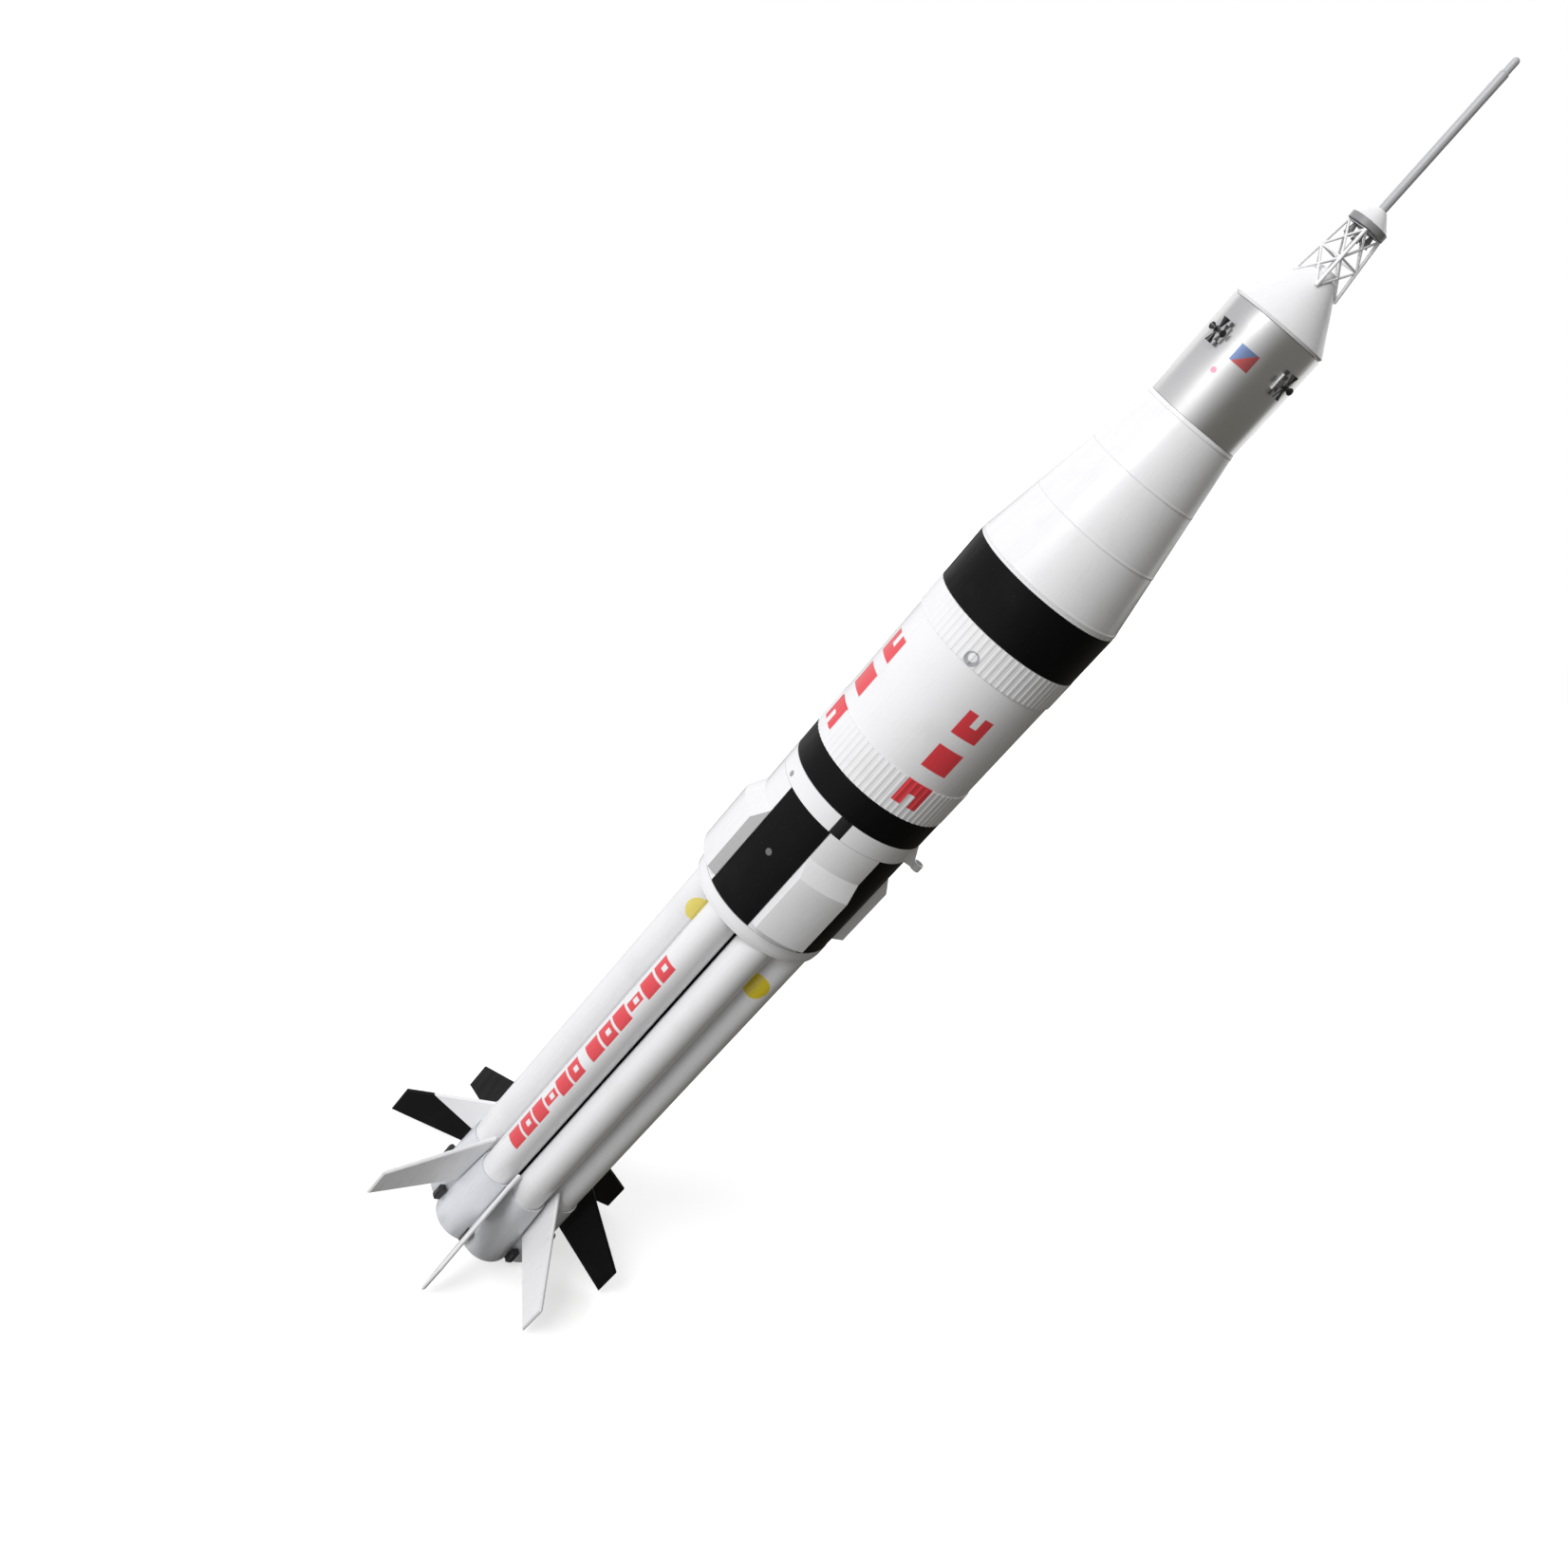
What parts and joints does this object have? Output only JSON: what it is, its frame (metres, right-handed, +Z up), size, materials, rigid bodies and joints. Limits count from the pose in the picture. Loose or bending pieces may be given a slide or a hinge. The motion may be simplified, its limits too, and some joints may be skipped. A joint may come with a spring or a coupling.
{
  "type": "model rocket",
  "caption": "Two-stage scale model rocket with clustered tank tubes, swept fins, ribbed upper body, cone adapter, lattice escape tower and lift-off nose section.",
  "frame": {"origin": "centre of the resting face under the tail shroud", "axes": "+Z up along the rocket from tail to tip, -Y towards the side between the first two front tank tubes"},
  "size_m": [0.201, 0.201, 0.9342],
  "materials": {
    "white_paint": "semi-gloss white paint on paper tube",
    "tank_paint": "semi-gloss white paint with red marks",
    "body_paint": "semi-gloss white paint with red marks",
    "white_plastic": "moulded white plastic",
    "black_paint": "semi-gloss black paint",
    "silver_foil": "polished self-adhesive foil",
    "grey_paint": "grey painted dowel",
    "dark_plastic": "dark moulded plastic",
    "kraft_paper": "wound kraft paper tube",
    "plywood": "laser-cut plywood",
    "motor_paper": "wound motor casing",
    "clay": "pressed clay",
    "steel": "zinc-plated wire",
    "fabric": "folded nylon",
    "wadding": "crumpled paper wadding"
  },
  "bodies": {
    "booster": {"aft_black_ring": "black_paint", "aft_ribbed_wrap": "white_plastic", "collar_band": "white_plastic", "collar_frame": "white_plastic", "cord_anchor": "kraft_paper", "core_tube": "black_paint", "fairings_black": "black_paint", "fairings_white": "white_plastic", "fin_1": "white_paint", "fin_2": "white_paint", "fin_3": "black_paint", "fin_4": "black_paint", "fin_5": "white_paint", "fin_6": "black_paint", "fin_7": "black_paint", "fin_8": "white_paint", "fore_black_band": "black_paint", "fore_ribbed_wrap": "white_plastic", "forward_ring": "plywood", "hold_down_pads": "dark_plastic", "launch_lug_lower": "white_plastic", "launch_lug_upper": "white_plastic", "motor_ring_lower": "plywood", "motor_ring_upper": "plywood", "motor_tube": "kraft_paper", "parachute_pack": "fabric", "retainer_body": "dark_plastic", "stage_coupler": "kraft_paper", "tail_shroud": "white_plastic", "tank_plate": "plywood", "tank_tube_1": "tank_paint", "tank_tube_2": "tank_paint", "tank_tube_3": "tank_paint", "tank_tube_4": "tank_paint", "tank_tube_5": "tank_paint", "tank_tube_6": "tank_paint", "tank_tube_7": "tank_paint", "tank_tube_8": "tank_paint", "thrust_ring": "plywood", "upper_body_tube": "body_paint", "wadding_pad": "wadding"},
    "nose": {"nose_shoulder": "white_plastic", "nose_bulkhead": "plywood", "nose_eye": "steel", "adapter_cone": "white_plastic", "service_coupler": "kraft_paper", "service_tube": "silver_foil", "service_disc": "plywood", "thruster_plates": "silver_foil", "thruster_nozzles": "dark_plastic", "capsule": "white_plastic", "escape_tower": "white_plastic", "escape_nozzles": "dark_plastic", "escape_skirt_band": "grey_paint", "escape_skirt_cone": "white_plastic", "escape_rod": "grey_paint", "nose_tip": "grey_paint"},
    "motor": {"motor_case": "motor_paper", "motor_nozzle": "clay"},
    "retainer": {"retainer_cap": "dark_plastic"}
  },
  "joints": [
    {"name": "nose_pull", "type": "slide", "parent": "booster", "child": "nose", "axis": [0, 0, 1], "range_m": [0, 0.2]},
    {"name": "motor_slide", "type": "slide", "parent": "booster", "child": "motor", "axis": [0, 0, -1], "range_m": [0, 0.11]},
    {"name": "retainer_turn", "type": "hinge", "parent": "motor", "child": "retainer", "pos_m": [0, 0, 0.005], "axis": [0, 0, 1], "continuous": true}
  ]
}
